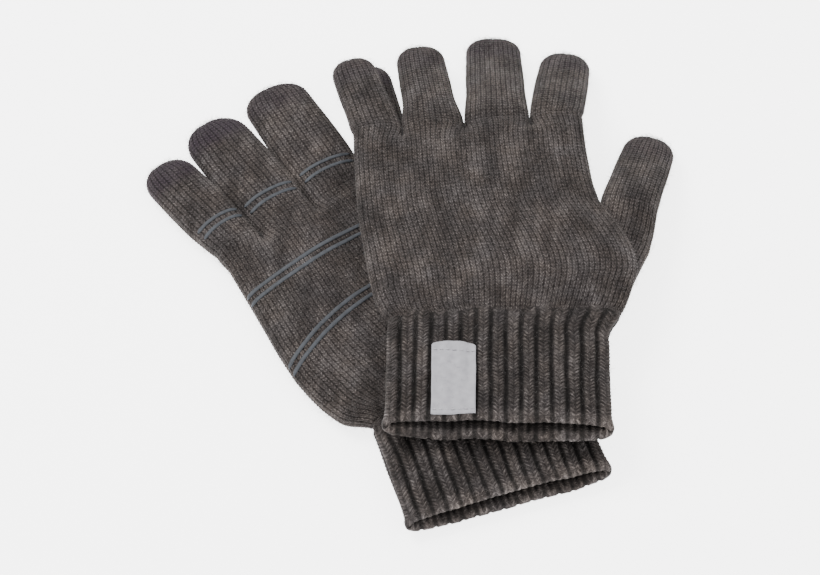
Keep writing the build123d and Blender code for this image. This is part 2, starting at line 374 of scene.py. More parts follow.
def cuff_cage(glove):
    """The middle of the cuff's wall: rings from the wrist to the lip."""
    length, bend, width = glove["cuff"], glove["bend"], glove["cuff_width"]
    h = np.radians(bend)
    columns = RIBS * RIB_COLUMNS
    rows = []
    wide_at = (CUFF_TOP, 0, 0.25 * length, 0.8 * length, length)
    high_at = (CUFF_TOP, 0, 0.3 * length, 0.8 * length, length)
    for back in np.linspace(CUFF_TOP, length, 16):
        wide = width + np.interp(back, wide_at, (-2.5, 0, -0.5, -0.5, 1))
        high = np.interp(back, high_at, (8.6, CUFF_HEIGHT, 10.0, 8.0, 5.6))
        turn = glove["tilt"] + (bend - glove["tilt"]) * smooth(0, 16, back)
        section = ring(wide, high, columns, CUFF_ROUND)
        places = np.stack([section[:, 0], 0 * section[:, 0] + back, np.sign(section[:, 1])], -1)
        slack = 1.3 * lumps(places, 19.0, glove["seed"] + 5) + 0.5 * lumps(places, 8.0, glove["seed"])
        turn_round = np.linspace(0, 2 * np.pi, len(section), endpoint=False)
        section[:, 1] += smooth(CUFF_TOP, 12, back) * slack * np.abs(np.sin(turn_round))
        section[:, 0] += FLARE * smooth(9, -2, back) * np.maximum(section[:, 0] / (width / 2), 0) ** 2
        placed = place_ring(section, -back * np.sin(h), -back * np.cos(h), 0, turn)
        upper = 0.5 + 0.5 * np.clip(section[:, 1] / 3.0, -1, 1)
        shift_up, shift_down = glove["lip_shift"]
        out = smooth(0.3 * length, length, back) * (shift_up * upper - shift_down * (1 - upper))
        placed[:, 0] += out * np.sin(h)
        placed[:, 1] += out * np.cos(h)
        rows.append(placed)
    return np.array(rows)


# ---------------------------------------------------------------- stitches
def plain_stitch(u, v):
    """Height, about -1 to 1, of the body knit at u stitch columns and v rows: rows of Vs."""
    part = u - np.floor(u)
    spread = np.abs(2 * part - 1)
    bulge = 0.5 + 0.5 * np.cos(2 * np.pi * (v - spread))
    leg = np.sin(np.pi * spread)
    between = 0.5 + 0.5 * np.cos(2 * np.pi * part)
    return leg * (0.35 + 0.65 * bulge) - 0.85 * between + 0.15 * (bulge - 0.5) * (1 - leg)


def rib_stitch(u, v):
    """Height of the ribbing at u ribs and v rows: a proud column of Vs and a deep channel."""
    part = u - np.floor(u)
    spread = np.abs(2 * part - 1) / RIB_SPREAD
    body = 1 - smooth(0.72, 1.3, spread)
    bulge = 0.5 + 0.5 * np.cos(2 * np.pi * (v - spread))
    centre = np.exp(-((spread / 0.16) ** 2))
    purl = (1 - body) * (0.5 + 0.5 * np.cos(2 * np.pi * (v + 0.5)))
    return body * (0.72 + 0.28 * bulge) - 0.16 * centre + 0.08 * purl


# ---------------------------------------------------------------- meshes
def bare_mesh(name, points, corners, starts):
    """A mesh in metres from millimetre points, the faces' corners and where each face starts."""
    mesh = bpy.data.meshes.new(name)
    mesh.vertices.add(len(points))
    mesh.vertices.foreach_set("co", (np.asarray(points) * MM).astype(np.float32).ravel())
    mesh.loops.add(len(corners))
    mesh.loops.foreach_set("vertex_index", corners.astype(np.int32))
    mesh.polygons.add(len(starts))
    mesh.polygons.foreach_set("loop_start", starts.astype(np.int32))
    mesh.update(calc_edges=True)
    return mesh


def linked(name, mesh):
    """A finished mesh as a piece in the scene."""
    mesh.validate()
    mesh.shade_smooth()
    piece = bpy.data.objects.new(name, mesh)
    bpy.context.scene.collection.objects.link(piece)
    return piece


def mesh_object(name, points, faces, attributes=None, coordinates=None):
    """A piece with faces of one size. coordinates is one knit u, v pair per face corner."""
    faces = np.asarray(faces)
    mesh = bare_mesh(name, points, faces.ravel(), np.arange(0, faces.size, faces.shape[1]))
    for key, values in (attributes or {}).items():
        layer = mesh.attributes.new(key, "FLOAT", "POINT")
        layer.data.foreach_set("value", np.asarray(values, np.float32).ravel())
    if coordinates is not None:
        layer = mesh.uv_layers.new(name="knit")
        layer.data.foreach_set("uv", np.asarray(coordinates, np.float32).ravel())
    return linked(name, mesh)


def skin(rows, us, vs):
    """Points, quads and knit coordinates of a skin through rings of equal count.

    One u per column and one v per ring. The last ring joins the first, which closes the wall.
    """
    count, columns = rows.shape[:2]
    a = np.arange(count)[:, None]
    i = np.arange(columns)[None]
    b, j = (a + 1) % count, (i + 1) % columns
    quad = (a * columns + i, b * columns + i, b * columns + j, a * columns + j)
    quads = np.stack(np.broadcast_arrays(*quad), axis=-1)
    step = us[1] - us[0]
    left, right = us[i] + 0 * a, us[i] + step + 0 * a
    low, high = vs[a] + 0 * i, vs[b] + 0 * i
    corners = ((left, low), (left, high), (right, high), (right, low))
    coordinates = np.stack([np.stack(corner, -1) for corner in corners], axis=2)
    return rows.reshape(-1, 3), quads.reshape(-1, 4), coordinates.reshape(-1, 2)


def finish_points(local, points):
    """Row-frame points, pressed flat where they would sink into the table."""
    world = local.world(points)
    height = world[..., 2]
    pressed = PRESS * np.exp(np.minimum(height - PRESS, 0) / PRESS)
    world[..., 2] = np.where(height < PRESS, pressed, height)
    return world


def soft_lining(name, local, tube, first, last):
    """A thin brushed sleeve inside a tube."""
    outer, inner = tube.inside(WALL + LINING_GAP), tube.inside(WALL + LINING_GAP + LINING)
    columns = tube.cage.shape[1]
    u = np.arange(columns * 2) / 2
    v = np.linspace(first, last, max(int((last - first) * 1.5), 4))
    a = outer.at(*np.meshgrid(u, v))
    b = inner.at(*np.meshgrid(u, v[::-1]))
    rows = finish_points(local, np.concatenate([a, b]))
    points, quads, coordinates = skin(rows, u, np.concatenate([v, v[::-1]]))
    return mesh_object(name, points, quads, None, coordinates)


def enlarged(coarse, shape):
    """Each value repeated over a stitch's grid lines both ways, cut to a shape."""
    return np.kron(coarse, np.ones((SAMPLES, SAMPLES)))[: shape[0], : shape[1]]


def sway_of(tube, uu, vv, size, seed):
    """How far the columns wander sideways over a grid of places on a tube."""
    coarse = lumps(tube.at(uu[::SAMPLES, ::SAMPLES], vv[::SAMPLES, ::SAMPLES]), size, seed)
    return enlarged(coarse, uu.shape)


def whole_wall(inner, outer):
    """Values for all of a cuff's rows: the inside from its deep end, the lip, then the outside."""
    return np.concatenate([inner[::-1], np.repeat(outer[:1], LIP_ROWS, 0), outer])


def cuff_shell(name, local, glove, cage):
    """The ribbed cuff in one wall: inside from its deep end, rolled lip, outside to the wrist."""
    tube = Tube(cage[::-1])
    courses = int(round((glove["cuff"] - CUFF_TOP) / RIB_COURSE))
    outer_s = np.arange(courses * RIB_ROW_SAMPLES + 1) / RIB_ROW_SAMPLES
    outer_v = outer_s / courses * (len(cage) - 1)
    u = np.arange(RIBS * 2 * RIB_COLUMNS * RIB_SAMPLES) / RIB_SAMPLES
    uu, vv = np.meshgrid(u, outer_v)
    ribs, rows_s = np.meshgrid(u / RIB_COLUMNS, outer_s)
    uu = uu + CUFF_SWAY * sway_of(tube, uu, vv, CUFF_SWAY_SIZE, glove["seed"])
    mid, normal = tube.at(uu, vv), tube.normal(uu, vv)
    welt = LIP_SWELL * np.exp(-((outer_s / 1.3) ** 2))[:, None]
    rib_out, rib_in = rib_stitch(ribs, rows_s), rib_stitch(ribs + 0.5, rows_s)
    flat = 1 - 0.5 * np.exp(-((outer_s / 1.1) ** 2)) - 0.8 * smooth(courses - 7, courses - 1, outer_s)
    flat = flat[:, None]
    out_lift = CUFF_WALL / 2 + welt + RIB_RELIEF * (rib_out - 0.5) * flat
    in_lift = CUFF_WALL / 2 + welt + 0.7 * RIB_RELIEF * (rib_in - 0.5) * flat
    outside = mid + normal * out_lift[..., None]
    inside = mid - normal * in_lift[..., None]
    along = tube.at(u, 0.0) - tube.at(u, 0.5)
    along = along / np.linalg.norm(along, axis=-1, keepdims=True)
    lip = []
    for angle in np.linspace(0, np.pi, LIP_ROWS + 2)[1:-1]:
        share = angle / np.pi
        reach = in_lift[0] * (1 - share) + out_lift[0] * share
        curl = np.sin(angle) * reach * LIP_ROUND
        lip.append(mid[0] - normal[0] * (np.cos(angle) * reach)[:, None] + along * curl[:, None])
    rows = np.concatenate([inside[::-1], np.array(lip), outside])
    lip_s = -np.linspace(0.1, 0.9, LIP_ROWS) * 2.0
    stitch_v = np.concatenate([-2.0 - outer_s[::-1], lip_s, outer_s])
    height = 0.6 + (whole_wall(rib_in, rib_out) - 0.6) * whole_wall(flat, flat)
    # painted shade: the inside wall grows darker from one to seven courses in from the lip
    deep = np.concatenate([smooth(1, 7, outer_s[::-1]), np.zeros(LIP_ROWS), 0 * outer_s])
    # painted light: a lighter band over the rolled lip and the wall just inside it
    inner_lip, outer_lip = np.exp(-outer_s[::-1] / 1.2), np.exp(-((outer_s / 1.5) ** 2))
    lipness = np.concatenate([inner_lip, np.ones(LIP_ROWS), outer_lip])
    points, quads, coordinates = skin(finish_points(local, rows), u / RIB_COLUMNS, stitch_v)
    # stitch drives the painted shade in the hollows and the painted highlight on the crests, inside the
    # painted shade deep in the cuff, lip the painted light at the lip
    attributes = {
        "stitch": height * 1.6 - 0.8,
        "inside": deep[:, None] + 0 * height,
        "lip": lipness[:, None] + 0 * height,
    }
    return mesh_object(name, points, quads, attributes, coordinates), tube


def sag_and_wrinkle(points, glove, above):
    """The cage's rest: the free edge sinks, hollows form, and the knit puffs up above the cuff."""
    p = points.copy()
    x, y = p[..., 0], p[..., 1]
    flat, seed = np.stack([x, y, 0 * x], -1), glove["seed"]
    sink = glove["sag"] * smooth(SAG_FROM, SAG_FULL, x) * smooth(-10, 25, y) * (1 - 0.35 * smooth(70, 108, y))
    hollow = 1.0 * lumps(flat, 27.0, seed) + 0.5 * lumps(flat, 12.0, seed + 9)
    near_cuff = np.exp(-((np.maximum(y - 9, 0) / 13.0) ** 2)) * smooth(-4, 7, y)
    puff = 3.0 * lumps(flat * (1.0, 0.55, 1.0), 12.0, seed + 4)
    puff += 1.3 * lumps(flat * (1.0, 0.4, 1.0), 6.5, seed + 2)
    near_knuckles = np.exp(-(((y - glove["palm"] + 4) / 13.0) ** 2))
    crease = 1.2 * lumps(flat * (0.45, 1.0, 1.0), 8.0, seed + 6)
    p[..., 2] += above * (hollow - 0.5 + near_cuff * (puff + 0.5) + near_knuckles * crease) - sink
    return p


def on_top(cage):
    """1 for the points of each ring's upper face, 0 for the lower, per ring and column."""
    columns = cage.shape[1]
    k = np.arange(columns)
    top = np.where(k <= columns // 2, np.sin(np.pi * k / (columns // 2)), 0.0)
    return np.broadcast_to(smooth(0.0, 0.35, top), cage.shape[:2])


def palm_ghost(palm, first_rings):
    """One ring past the knuckle line, read off the fingers' first rings, so the surface runs on."""
    ghost = np.zeros_like(palm[-1])
    weight = np.zeros(len(ghost))
    for finger, rings in first_rings.items():
        top, bottom = finger_columns(finger)
        half = len(top) - 1
        upper, lower = rings[: half + 1], np.roll(rings, -half, axis=0)[: half + 1]
        for columns, points in ((top, upper), (bottom, lower)):
            np.add.at(ghost, columns, points)
            np.add.at(weight, columns, 1.0)
    return ghost / weight[:, None]


def strip(local, tube, us, vs, half_width, rise, sink=0.25, lift=0.0):
    """A raised band along a path on a tube: points and quads of one closed bar."""
    centre, normal = tube.at(us, vs), tube.normal(us, vs)
    along = np.gradient(centre, axis=0)
    across = np.cross(normal, along)
    across /= np.linalg.norm(across, axis=-1, keepdims=True)
    profile = [(-1, -sink), (-0.96, rise * 0.55), (-0.6, rise), (0.6, rise), (0.96, rise * 0.55), (1, -sink)]
    ends = np.minimum(1, 0.35 + np.minimum(np.arange(len(us)), np.arange(len(us))[::-1]) * 0.3)
    rows = [centre + across * (w * half_width * ends)[:, None] + normal * (h + lift) for w, h in profile]
    rows = np.stack(rows, axis=1)
    count = len(us)
    a = np.arange(count - 1)[:, None] * 6
    k = np.arange(6)[None]
    quads = np.stack([a + k, a + (k + 1) % 6, a + 6 + (k + 1) % 6, a + 6 + k], axis=-1).reshape(-1, 4)
    tail = (count - 1) * 6
    near = [[5, 4, 1, 0], [4, 3, 2, 1]]
    far = [[tail, tail + 1, tail + 4, tail + 5], [tail + 1, tail + 2, tail + 3, tail + 4]]
    caps = np.array(near + far)
    return finish_points(local, rows.reshape(-1, 3)), np.concatenate([quads, caps])


def join(parts):
    """Several (points, quads) lists as one."""
    points, quads, start = [], [], 0
    for p, q in parts:
        points.append(p)
        quads.append(np.asarray(q) + start)
        start += len(p)
    return np.concatenate(points), np.concatenate(quads)


# ---------------------------------------------------------------- materials
class Nodes:
    """A short way to wire one material."""

    def __init__(self, name):
        self.material = bpy.data.materials.new(name)
        self.material.use_nodes = True
        self.tree = self.material.node_tree
        self.shader = self.tree.nodes["Principled BSDF"]

    def node(self, kind, inputs=None, **options):
        made = self.tree.nodes.new(kind)
        for key, value in options.items():
            setattr(made, key, value)
        for key, value in (inputs or {}).items():
            self.put(made.inputs[key], value)
        return made

    def put(self, socket, value):
        if hasattr(value, "is_output"):
            self.tree.links.new(value, socket)
        else:
            socket.default_value = value

    def math(self, operation, a, b=0.0, clamp=False):
        made = self.node("ShaderNodeMath", {0: a, 1: b}, operation=operation, use_clamp=clamp)
        return made.outputs[0]

    def add(self, a, b):
        return self.math("ADD", a, b)

    def times(self, a, b):
        return self.math("MULTIPLY", a, b)

    def attribute(self, name):
        return self.node("ShaderNodeAttribute", attribute_name=name).outputs["Fac"]

    def place(self):
        return self.node("ShaderNodeTexCoord").outputs["Object"]

    def noise(self, vector, scale, detail=2.0, rough=0.5):
        inputs = {"Vector": vector, "Scale": scale, "Detail": detail, "Roughness": rough}
        return self.node("ShaderNodeTexNoise", inputs).outputs["Fac"]

    def between(self, value, low, high, at_low, at_high, kind="LINEAR"):
        inputs = {"Value": value, "From Min": low, "From Max": high, "To Min": at_low, "To Max": at_high}
        return self.node("ShaderNodeMapRange", inputs, interpolation_type=kind).outputs[0]

    def stretched(self, vector, scale):
        made = self.node("ShaderNodeMapping", {"Vector": vector, "Scale": scale})
        return made.outputs[0]

    def surface(self, inputs):
        """Sets the shader's own inputs, and gives the material."""
        for key, value in inputs.items():
            self.put(self.shader.inputs[key], value)
        return self.material

    def ramp(self, factor, stops):
        made = self.node("ShaderNodeValToRGB", {"Fac": factor})
        ramp = made.color_ramp
        while len(ramp.elements) < len(stops):
            ramp.elements.new(0.5)
        for element, (place, colour) in zip(ramp.elements, stops):
            element.position = place
            element.color = (*colour, 1.0)
        return made.outputs["Color"]

    def mix(self, factor, a, b, blend="MIX"):
        made = self.node("ShaderNodeMix", data_type="RGBA", blend_type=blend)
        self.put(made.inputs[0], factor)
        self.put(made.inputs[6], a)
        self.put(made.inputs[7], b)
        return made.outputs[2]

    def bump(self, height, strength, distance):
        inputs = {"Height": height, "Strength": strength, "Distance": distance}
        return self.node("ShaderNodeBump", inputs).outputs[0]


def knit_material(name, dark, mid, light, spread=1.0, line=0.62, touch=None, lip=None):
    """Matte heathered knit, a V in every stitch.

    spread is the share of a column that the Vs fill and line how dark the painted shade in the gap between
    columns is. touch is a tint and lip a painted lightening, each as strong as the mesh's value of that name.
    """
    n = Nodes(name)
    uv = n.node("ShaderNodeUVMap", uv_map="knit").outputs[0]
    place = n.place()
    waver = n.noise(n.stretched(uv, (0.9, 0.9, 1.0)), 1.0)
    apart = n.node("ShaderNodeSeparateXYZ", {0: uv})
    u = apart.outputs[0]
    v = n.add(apart.outputs[1], n.times(n.math("SUBTRACT", waver, 0.5), 0.5))

    # two strands lean out from the middle of each column
    side = n.math("SUBTRACT", n.times(n.math("FRACT", u), 2.0), 1.0)
    out = n.math("DIVIDE", n.math("ABSOLUTE", side), spread)
    lean = n.math("SUBTRACT", v, n.math("MINIMUM", out, 1.3))
    strand = n.add(0.5, n.times(n.math("COSINE", n.times(lean, 2 * np.pi)), 0.5))
    leg = n.math("SINE", n.times(n.math("MINIMUM", out, 1.0), np.pi))
    yarn = n.times(strand, leg)
    column = n.between(out, 0.82, 1.12, 1.0, 0.0, "SMOOTHSTEP")

    # light and dark fibres within each strand, and patches over the whole glove
    along = n.times(lean, 4.2)
    own = n.times(n.math("FLOOR", n.times(u, 2.0)), 7.3)
    fibre_place = n.node("ShaderNodeCombineXYZ", {0: along, 1: n.times(out, 0.9), 2: own}).outputs[0]
    fibre = n.noise(fibre_place, 1.0, 4.0, 0.7)
    fleck = n.noise(n.stretched(uv, (1.6, 0.9, 1.0)), 1.3, 3.0, 0.7)
    cloud = n.noise(n.stretched(place, (1.0, 0.45, 1.0)), 120.0, 3.0, 0.6)
    hair = n.noise(n.stretched(place, (1.0, 0.35, 1.0)), 3300.0, 3.0, 0.75)
    shade = n.add(n.times(fibre, 0.46), n.add(n.times(fleck, 0.26), n.times(hair, 0.36)))
    shade = n.add(shade, n.times(n.math("SUBTRACT", cloud, 0.5), 0.3))
    colour = n.ramp(shade, [(0.40, dark), (0.54, mid), (0.70, light)])
    warm = n.ramp(n.noise(place, 75.0), [(0.35, (0.97, 0.985, 1.02)), (0.65, (1.035, 0.995, 0.96))])
    colour = n.mix(1.0, colour, warm, "MULTIPLY")
    if touch is not None:
        patch = n.noise(place, 160.0, 3.0, 0.6)
        amount = n.math("MULTIPLY", n.attribute("touch"), n.add(0.55, patch), clamp=True)
        colour = n.mix(n.times(amount, 0.8), colour, (*touch, 1.0))
    if lip is not None:
        # painted light: the lip value makes the cuff's rolled lip and the inner wall next to it lighter
        colour = n.mix(n.attribute("lip"), colour, n.mix(1.0, colour, (lip, lip, lip, 1.0), "MULTIPLY"))

    # painted shade: darker between strands, between columns, down in the stitches' hollows and on the inside
    # walls, with a painted highlight on the stitches' crests
    knit = n.times(n.add(0.62, n.times(yarn, 0.55)), n.add(1 - line, n.times(column, line)))
    # painted shade in the stitches' hollows and on the inner walls, painted highlight on their crests
    hollow = n.between(n.attribute("stitch"), -0.8, 0.8, 0.45, 1.15)
    # painted shade on the inside walls
    inside = n.math("SUBTRACT", 1.0, n.times(n.attribute("inside"), 0.6))
    value = n.times(n.times(hollow, inside), knit)
    grey = n.node("ShaderNodeCombineColor", {0: value, 1: value, 2: value}).outputs[0]
    raised = n.add(n.times(yarn, 0.7), n.times(n.add(fibre, hair), 0.35))
    return n.surface({
        "Base Color": n.mix(1.0, colour, grey, "MULTIPLY"),
        "Roughness": n.add(0.84, n.times(fibre, 0.14)),
        "Specular IOR Level": 0.12,
        "Sheen Weight": 0.12,
        "Sheen Roughness": 0.5,
        "Sheen Tint": (0.5, 0.46, 0.44, 1.0),
        "Normal": n.bump(raised, 0.7, 0.0004),
    })


def grip_material():
    """Smooth blue-grey silicone, uneven in patches."""
    n = Nodes("grip_print")
    place = n.place()
    patch = n.noise(place, 420.0, 3.0)
    return n.surface({
        "Base Color": n.ramp(patch, [(0.3, (0.026, 0.029, 0.034)), (0.7, (0.044, 0.048, 0.056))]),
        "Roughness": n.add(0.55, n.times(patch, 0.2)),
        "Specular IOR Level": 0.3,
        "Normal": n.bump(n.noise(place, 900.0), 0.25, 0.0001),
    })


def label_material():
    """A pale woven tape: fine threads both ways, and soft patches."""
    n = Nodes("woven_label")
    uv = n.node("ShaderNodeUVMap", uv_map="knit").outputs[0]

    def threads(direction, scale, distortion):
        inputs = {"Vector": uv, "Scale": scale, "Distortion": distortion, "Detail": 1.0}
        return n.node("ShaderNodeTexWave", inputs, bands_direction=direction).outputs["Fac"]

    weave = n.times(threads("X", 14.0, 0.6), threads("Y", 24.0, 0.4))
    cloud = n.noise(uv, 3.0, 3.0)
    shade = n.add(n.times(weave, 0.35), n.times(cloud, 0.65))
    return n.surface({
        "Base Color": n.ramp(shade, [(0.2, (0.23, 0.226, 0.245)), (0.8, (0.42, 0.41, 0.44))]),
        "Roughness": n.add(0.5, n.times(cloud, 0.18)),
        "Sheen Weight": 0.2,
        "Normal": n.bump(weave, 0.35, 0.00008),
    })


def thread_material():
    """Pale twisted sewing thread."""
    n = Nodes("label_thread")
    twist = n.noise(n.place(), 2400.0)
    return n.surface({
        "Base Color": n.ramp(twist, [(0.3, (0.3, 0.295, 0.31)), (0.7, (0.42, 0.41, 0.44))]),
        "Roughness": 0.7,
        "Normal": n.bump(twist, 0.3, 0.0001),
    })


def fuzz_material():
    """Single fibres, some lighter than others."""
    n = Nodes("fuzz")
    shade = n.noise(n.place(), 700.0)
    return n.surface({
        "Base Color": n.ramp(shade, [(0.35, (0.03, 0.027, 0.026)), (0.65, (0.1, 0.09, 0.086))]),
        "Roughness": 0.8,
    })


def lining_material():
    """Dark brushed microfibre."""
    n = Nodes("brushed_lining")
    nap = n.noise(n.place(), 900.0, 4.0, 0.7)
    return n.surface({
        "Base Color": n.ramp(nap, [(0.3, (0.012, 0.011, 0.011)), (0.7, (0.035, 0.032, 0.032))]),
        "Roughness": 0.95,
        "Normal": n.bump(nap, 0.6, 0.0004),
    })


# dark, middle and light yarn of the body and of the ribbing
BODY_YARN = (0.008, 0.0068, 0.0064), (0.047, 0.040, 0.0375), (0.18, 0.159, 0.15)
RIB_YARN = (0.005, 0.0043, 0.004), (0.030, 0.0255, 0.024), (0.135, 0.119, 0.112)
MATERIALS = {
    "fuzz": fuzz_material(),
    "body_knit": knit_material("body_knit", *BODY_YARN),
    "rib_knit": knit_material("rib_knit", *RIB_YARN, spread=RIB_SPREAD, line=0.45, lip=1.7),
    "touch_knit": knit_material("touch_knit", *BODY_YARN, touch=(0.034, 0.025, 0.034)),
    "brushed_lining": lining_material(),
    "grip_print": grip_material(),
    "woven_label": label_material(),
    "label_thread": thread_material(),
}


def dress(piece, slot, body=None, nodes=()):
    """Gives a piece its material and its body, and hides the CAD nodes it stands for."""
    piece.data.materials.append(MATERIALS[slot])
    if nodes:
        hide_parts(*nodes)
    if body:
        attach(piece, body)
    return piece


# ---------------------------------------------------------------- gloves
def bend_finger(piece, local, glove, side, finger):
    """Attaches a still finger's piece to the hand's body; a moving finger's piece only has its place baked
    into its points.
    """
    if finger not in glove["moving"]:
        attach(piece, f"{side}_hand")
        return
    base_x, base_z = (THUMB_X, -glove["gusset_drop"]) if finger == "thumb" else (FINGERS[finger][0], 0.0)
    base_y = THUMB_Y if finger == "thumb" else glove["palm"]
    h = np.radians(THUMB_HEADING if finger == "thumb" else 0.0)
    start = np.array([base_x, base_y, base_z])
    end = start + BEND_LENGTH * np.array([np.sin(h), np.cos(h), 0.0])
    start, end = local.world(start) * MM, local.world(end) * MM
    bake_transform(piece)


def finger_pieces(local, glove, side, finger, cage, base_row):
    """The knitted tube, its touch tip and its lining."""
    tube = Tube(cage)
    _, _, _, length, touch = glove["digits"][finger]
    reach = tube.reach(base_row)
    cut = float(np.interp(length - TIP_LENGTH, reach[base_row:], np.arange(base_row, len(cage))))
    last = len(cage) - 1
    name = f"{side}_{finger}"
    stem, courses = knit_between(f"{name}_tube", local, tube, base_row, cut, 0)
    dress(stem, "body_knit", nodes=[f"{name}_tube"])
    tip, _ = knit_between(f"{name}_touch_tip", local, tube, cut, last, courses, touch)
    dress(tip, "touch_knit", nodes=[f"{name}_touch_tip"])
    lining = soft_lining(f"{name}_lining", local, tube, base_row, last - 1.5)
    dress(lining, "brushed_lining", nodes=[f"{name}_lining"])
    pieces = [stem, tip, lining]
    if finger != "thumb":
        pieces.append(finger_grip(local, side, finger, tube, base_row))
    for part, first, end in (("tube", base_row, cut), ("tip", cut, last)):
        pieces.append(fuzz(f"{name}_{part}_fuzz", local, tube, first, end))
    for piece in pieces:
        bend_finger(piece, local, glove, side, finger)


def knit_between(name, local, tube, first, last, course, touch=None):
    """The stitches of a tube between two places in its cage's rows, and the next stitch row's number."""
    run = tube.run()
    rows = np.arange(len(run))
    ends = np.interp([first, last], rows, run)
    courses = max(int(round((ends[1] - ends[0]) / COURSE)), 2)
    v = np.interp(np.linspace(ends[0], ends[1], courses * SAMPLES + 1), run, rows)
    return knit_grid(name, local, tube, v, course, touch), course + courses


def knit_grid(name, local, tube, v, course_start, touch=None):
    """The stitches over a tube at given cage rows: a relief outside, and plain inside."""
    u = np.arange(tube.cage.shape[1] * SAMPLES) / SAMPLES
    stitch_v = course_start + np.arange(len(v)) / SAMPLES
    uu, vv = np.meshgrid(u, v)
    su, sv = np.meshgrid(u, stitch_v)
    uu = uu + SWAY * sway_of(tube, uu, vv, SWAY_SIZE, 3.0)
    base, normal = tube.at(uu, vv), tube.normal(uu, vv)
    height = plain_stitch(su, sv)
    if touch is not None:
        height = height * (1 - 0.8 * smooth(len(v) - 9, len(v) - 1, np.arange(len(v))))[:, None]
    cells = np.stack([su, sv, 0 * su], -1)[::SAMPLES, ::SAMPLES] * 0.9
    uneven = 1 + UNEVEN * enlarged(lumps(cells, 1.0, 7.7), su.shape)
    outer = base + normal * (RELIEF * (height - RELIEF_ZERO) * uneven)[..., None]
    inner_v = np.linspace(v[-1], v[0], max(int((v[-1] - v[0]) / 1.2), 3) + 1)
    inner = tube.inside(WALL).at(*np.meshgrid(u, inner_v))
    courses_v = np.concatenate([stitch_v, np.interp(inner_v, v, stitch_v)])
    points, quads, coordinates = skin(finish_points(local, np.concatenate([outer, inner])), u, courses_v)
    # the inner wall takes the deepest painted shade of the hollows, and inside marks it for painted shade too
    hollow = np.concatenate([height, np.full(inner.shape[:2], -0.8)])
    inside = np.concatenate([np.zeros(outer.shape[:2]), np.ones(inner.shape[:2])])
    attributes = {"stitch": hollow, "inside": inside}
    if touch is not None:
        attributes["touch"] = touch * smooth(course_start, course_start + 5, courses_v)[:, None] + 0 * hollow
    return mesh_object(name, points, quads, attributes, coordinates)


def fuzz(name, local, tube, first, last, cuff=False):
    """Loose fibres standing off the knit: thin three-sided hairs, closed at both ends."""
    chance = np.random.default_rng(sum(map(ord, name)))
    spacing = np.linalg.norm(np.diff(tube.cage, axis=0), axis=-1).mean(axis=1).mean()
    around = np.linalg.norm(tube.cage - np.roll(tube.cage, 1, axis=1), axis=-1).sum(axis=1).mean()
    area = spacing * (last - first) * around
    count = int(area * FUZZ_PER_MM2 * (CUFF_FUZZ if cuff else 1.0))
    u = chance.uniform(0, tube.cage.shape[1], count)
    v = chance.uniform(first, last, count)
    root, normal = tube.at(u, v), tube.normal(u, v)
    across = tube.at(u + 0.3, v) - root
    across /= np.maximum(np.linalg.norm(across, axis=-1, keepdims=True), 1e-9)
    other = np.cross(normal, across)
    angle = chance.uniform(0, 2 * np.pi, count)[:, None]
    away = across * np.cos(angle) + other * np.sin(angle)
    stand = chance.uniform(0.25, 0.9, count)[:, None]
    long = chance.uniform(*FUZZ_LENGTH, count)[:, None]
    lift = CUFF_WALL / 2 + 0.25 if cuff else 0.0
    joints = [root + normal * lift,
              root + normal * (lift + 0.55 * stand * long) + away * 0.4 * long,
              root + normal * (lift + stand * long * 0.8) + away * long * 0.95]
    side = np.cross(away, normal)
    spokes = [np.cos(a) * side + np.sin(a) * normal for a in (0, 2.09, 4.19)]
    rings = []
    for joint, taper in zip(joints, (1.0, 0.8, 0.4)):
        rings += [joint + spoke * (FUZZ_THICK * taper) for spoke in spokes]
    points = np.stack(rings, axis=1).reshape(-1, 3)
    start = np.arange(count)[:, None] * 9
    quads = []
    for a in (0, 3):
        quads += [[a + k, a + (k + 1) % 3, a + 3 + (k + 1) % 3, a + 3 + k] for k in range(3)]
    quads = (start[:, None] + np.array(quads)[None]).reshape(-1, 4)
    caps = (start[:, None] + np.array([[2, 1, 0], [6, 7, 8]])[None]).reshape(-1, 3)
    piece = hair_object(name, finish_points(local, points), quads, caps)
    piece.data.materials.append(MATERIALS["fuzz"])
    return piece


def hair_object(name, points, quads, caps):
    """A piece of hairs: four-sided faces and three-sided caps."""
    corners = np.concatenate([quads.ravel(), caps.ravel()])
    starts = np.concatenate([np.arange(len(quads)) * 4, quads.size + np.arange(len(caps)) * 3])
    return linked(name, bare_mesh(name, points, corners, starts))


def finger_grip(local, side, finger, tube, base_row):
    """Two printed lines across a finger's palm side, near its base."""
    half = tube.cage.shape[1] // 2
    reach = tube.reach(base_row)
    middle = half / 2 if side == "right" else half * 1.5
    across = np.linspace(-1, 1, 40)
    us = middle + across * FINGER_GRIP_REACH * half
    bars = []
    for shift in (-GRIP_PITCH / 2, GRIP_PITCH / 2):
        out = FINGER_GRIP_OUT + shift - FINGER_GRIP_BOW * across**2
        vs = np.interp(out, reach[base_row:], np.arange(base_row, len(reach)))
        bars.append(strip(local, tube, us, vs, GRIP_HALF * 0.9, GRIP_RISE))
    piece = mesh_object(f"{side}_{finger}_grip_lines", *join(bars))
    return dress(piece, "grip_print", nodes=[f"{side}_{finger}_grip_lines"])


def palm_grip(local, side, tube):
    """Two long pairs of printed lines across the palm."""
    half = tube.cage.shape[1] // 2
    ys = tube.cage.mean(axis=1)[:, 1]
    middle = half / 2 if side == "right" else half * 1.5
    across = np.linspace(-1, 1, 160)
    us = middle + across * PALM_GRIP_REACH * half
    bars = []
    for place, bow in PALM_GRIPS:
        for shift in (-GRIP_PITCH / 2, GRIP_PITCH / 2):
            vs = np.interp(place + shift - bow * 1.2 * across**2, ys, np.arange(len(ys)))
            bars.append(strip(local, tube, us, vs, GRIP_HALF, GRIP_RISE))
    piece = mesh_object(f"{side}_palm_grip_lines", *join(bars))
    return dress(piece, "grip_print", f"{side}_hand", [f"{side}_palm_grip_lines"])


